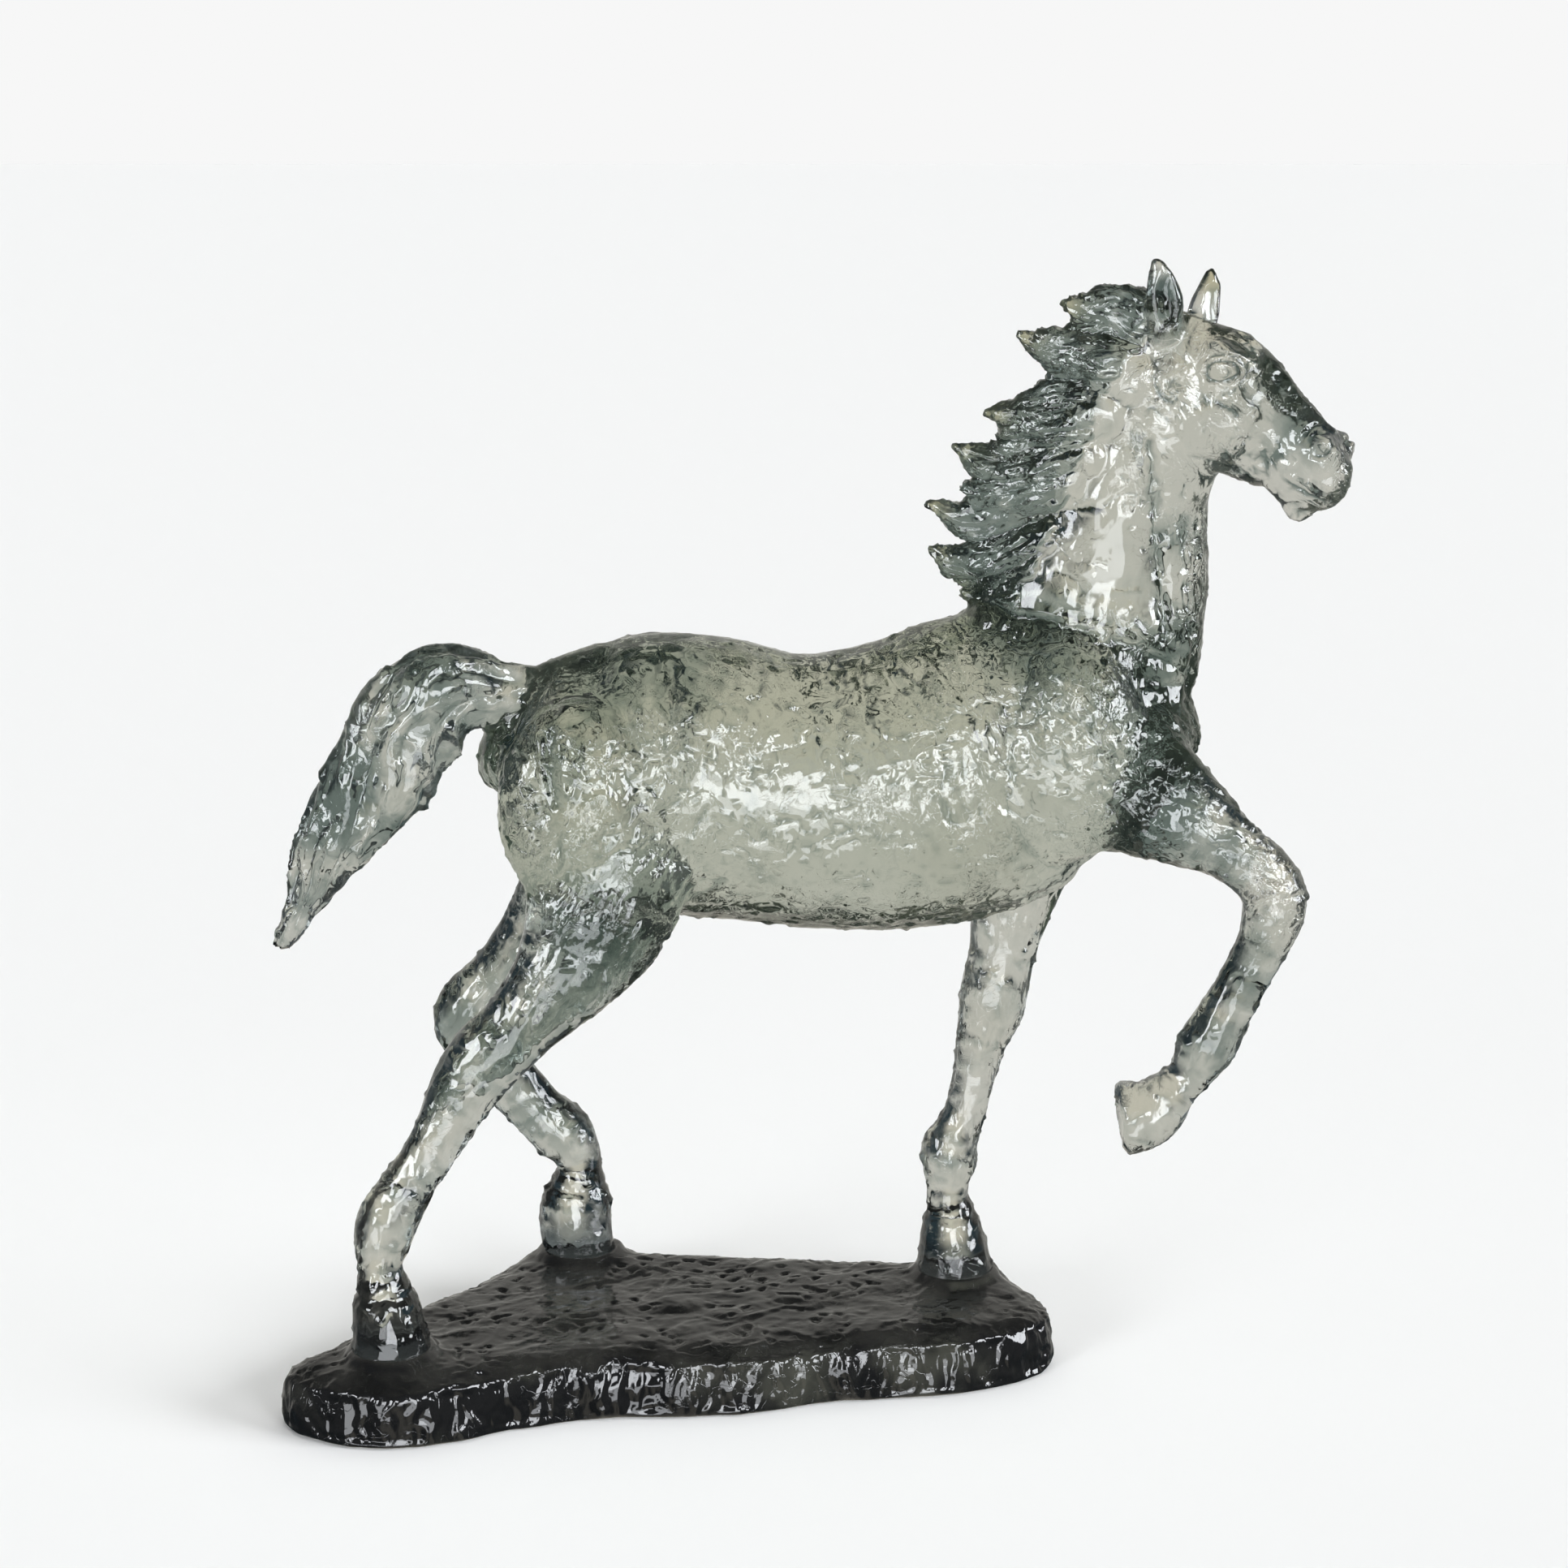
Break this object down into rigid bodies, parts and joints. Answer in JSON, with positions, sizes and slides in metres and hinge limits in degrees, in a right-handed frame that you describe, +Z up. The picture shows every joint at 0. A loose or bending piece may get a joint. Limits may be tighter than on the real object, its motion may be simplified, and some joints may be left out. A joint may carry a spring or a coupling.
{
  "type": "resin horse sculpture",
  "caption": "Cast clear resin horse stepping out with one foreleg raised, tail arched and mane blown back, standing on a low dark resin base with a flat underside",
  "frame": {"origin": "on the underside, below the middle of the base's length and width", "axes": "+Z up; +X towards the horse's head, along the base; +Y towards the horse's left side, so its right side, which the picture shows, faces -Y"},
  "size_m": [0.5109, 0.1879, 0.559],
  "materials": {
    "clear_resin": "polished clear resin, faintly grey-green, hand-worked surface",
    "dark_resin": "glossy smoke-black resin, hand-worked surface"
  },
  "bodies": {
    "root": {"horse": "clear_resin", "base": "dark_resin"}
  },
  "joints": []
}
